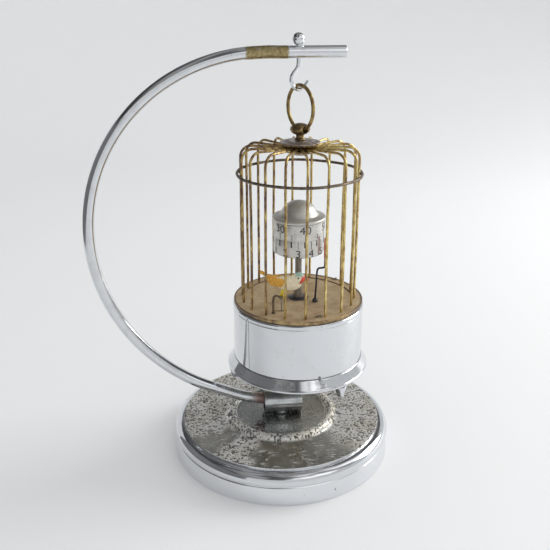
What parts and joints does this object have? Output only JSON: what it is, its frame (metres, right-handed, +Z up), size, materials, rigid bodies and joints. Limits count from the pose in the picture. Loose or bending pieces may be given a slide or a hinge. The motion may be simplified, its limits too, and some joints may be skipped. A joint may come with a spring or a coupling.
{
  "type": "birdcage clock on a hook stand",
  "caption": "Wind-up birdcage clock with a pecking bird and a turning drum dial, hanging by a ring from the hook of a curved tube arm on a round weighted base.",
  "frame": {"origin": "centre of the base's underside, on the table", "axes": "+Z up; the arm's plane is the XZ plane, with the bow of the arm towards -X and its open end towards +X"},
  "size_m": [0.2124, 0.1592, 0.2962],
  "materials": {
    "chrome": "polished plate, pitted with age on the base",
    "steel": "plain turned steel",
    "brass": "bright brass of the movement",
    "aged_brass": "lacquered brass worn to brown patches",
    "tarnished": "dull tan-brown oxidised brass",
    "iron": "rough cast",
    "felt": "green felt",
    "silvered": "satin",
    "blackened": "black wire",
    "bird_paint": "hand-painted, cream, orange, yellow and turquoise"
  },
  "bodies": {
    "stand": {"base_shell": "chrome", "base_weight": "iron", "base_pad": "felt", "arm_tube": "chrome", "arm_socket": "chrome", "socket_bolt": "steel"},
    "hook": {"hook_rod": "chrome", "ball_nut": "chrome"},
    "ring": {"hanging_ring": "aged_brass"},
    "clock": {"finial": "aged_brass", "top_disc": "tarnished", "under_disc": "aged_brass", "cage_wire_01": "aged_brass", "cage_wire_02": "aged_brass", "cage_wire_03": "aged_brass", "cage_wire_04": "aged_brass", "cage_wire_05": "aged_brass", "cage_wire_06": "aged_brass", "cage_wire_07": "aged_brass", "cage_wire_08": "aged_brass", "cage_wire_09": "aged_brass", "cage_wire_10": "aged_brass", "cage_wire_11": "aged_brass", "cage_wire_12": "aged_brass", "cage_wire_13": "aged_brass", "cage_wire_14": "aged_brass", "cage_wire_15": "aged_brass", "cage_wire_16": "aged_brass", "cage_wire_17": "aged_brass", "cage_wire_18": "aged_brass", "cage_hoop": "tarnished", "floor_plate": "tarnished", "case_band": "chrome", "case_flange": "chrome", "bottom_cover": "steel", "foot_1": "chrome", "foot_2": "chrome", "foot_3": "chrome", "pointer": "blackened", "shaft_bush": "steel", "perch": "tarnished", "bottom_plate": "brass", "top_plate": "brass"},
    "bird": {"bird": "bird_paint"},
    "bird_rocker": {"bird_rocker": "steel"},
    "minute_drum": {"minute_band": "silvered", "dome_cap": "silvered", "minute_arbor": "steel", "setting_knob": "brass"},
    "hour_drum": {"hour_band": "silvered", "hour_pipe": "steel"},
    "minute_wheel": {"minute_wheel": "brass"},
    "barrel": {"barrel": "brass", "mainspring": "steel"},
    "winding": {"winding_arbor": "steel", "winding_key": "brass"},
    "third_wheel": {"third_wheel": "brass"},
    "escape_wheel": {"escape_wheel": "brass"},
    "pallet_lever": {"pallet_lever": "steel"},
    "balance": {"balance_wheel": "brass"}
  },
  "joints": [
    {"name": "hook_swivel", "type": "hinge", "parent": "stand", "child": "hook", "pos_m": [0.0104, 0, 0.2885], "axis": [0, 0, 1], "continuous": true},
    {"name": "ring_swing", "type": "hinge", "parent": "hook", "child": "ring", "pos_m": [0.012, 0, 0.2612], "axis": [0.8988, 0.4384, 0], "range_deg": [-5, 5]},
    {"name": "clock_swing", "type": "hinge", "parent": "ring", "child": "clock", "pos_m": [0.012, 0, 0.2356], "axis": [0.4384, -0.8988, 0], "range_deg": [-5, 5]},
    {"name": "bird_rock", "type": "hinge", "parent": "clock", "child": "bird", "pos_m": [-0.0028, -0.0229, 0.1278], "axis": [0.1219, 0.9925, 0], "range_deg": [-4, 14]},
    {"name": "rocker_swing", "type": "hinge", "parent": "clock", "child": "bird_rocker", "pos_m": [-0.00148, -0.01218, 0.1124], "axis": [0, 0, 1], "range_deg": [-20, 6]},
    {"name": "minute_drum_spin", "type": "hinge", "parent": "clock", "child": "minute_drum", "pos_m": [0.012, 0, 0.165], "axis": [0, 0, 1], "continuous": true},
    {"name": "hour_drum_spin", "type": "hinge", "parent": "clock", "child": "hour_drum", "pos_m": [0.012, 0, 0.155], "axis": [0, 0, 1], "continuous": true},
    {"name": "minute_wheel_spin", "type": "hinge", "parent": "clock", "child": "minute_wheel", "pos_m": [0.012, 0.012, 0.108], "axis": [0, 0, 1], "continuous": true},
    {"name": "barrel_spin", "type": "hinge", "parent": "clock", "child": "barrel", "pos_m": [-0.00619, 0.0105, 0.09], "axis": [0, 0, 1], "continuous": true},
    {"name": "third_wheel_spin", "type": "hinge", "parent": "clock", "child": "third_wheel", "pos_m": [0.02412, -0.007, 0.09], "axis": [0, 0, 1], "continuous": true},
    {"name": "escape_wheel_spin", "type": "hinge", "parent": "clock", "child": "escape_wheel", "pos_m": [0.02169, -0.02079, 0.09], "axis": [0, 0, 1], "continuous": true},
    {"name": "winding_turn", "type": "hinge", "parent": "clock", "child": "winding", "pos_m": [-0.00619, 0.0105, 0.07], "axis": [0, 0, 1], "continuous": true},
    {"name": "pallet_rock", "type": "hinge", "parent": "clock", "child": "pallet_lever", "pos_m": [0.01129, -0.02239, 0.0945], "axis": [0, 0, 1], "range_deg": [-8, 8]},
    {"name": "balance_swing", "type": "hinge", "parent": "clock", "child": "balance", "pos_m": [-0.00071, -0.02239, 0.0912], "axis": [0, 0, 1], "range_deg": [-150, 150], "stiffness_Nm_per_rad": 0.00008}
  ],
  "couplings": [
    {"joint": "hour_drum_spin", "follows": "minute_drum_spin", "ratio": 0.083333},
    {"joint": "minute_wheel_spin", "follows": "minute_drum_spin", "ratio": -0.33333},
    {"joint": "barrel_spin", "follows": "minute_drum_spin", "ratio": -0.16667},
    {"joint": "third_wheel_spin", "follows": "minute_drum_spin", "ratio": -4},
    {"joint": "escape_wheel_spin", "follows": "minute_drum_spin", "ratio": 16},
    {"joint": "rocker_swing", "follows": "bird_rock", "ratio": -1.42}
  ]
}
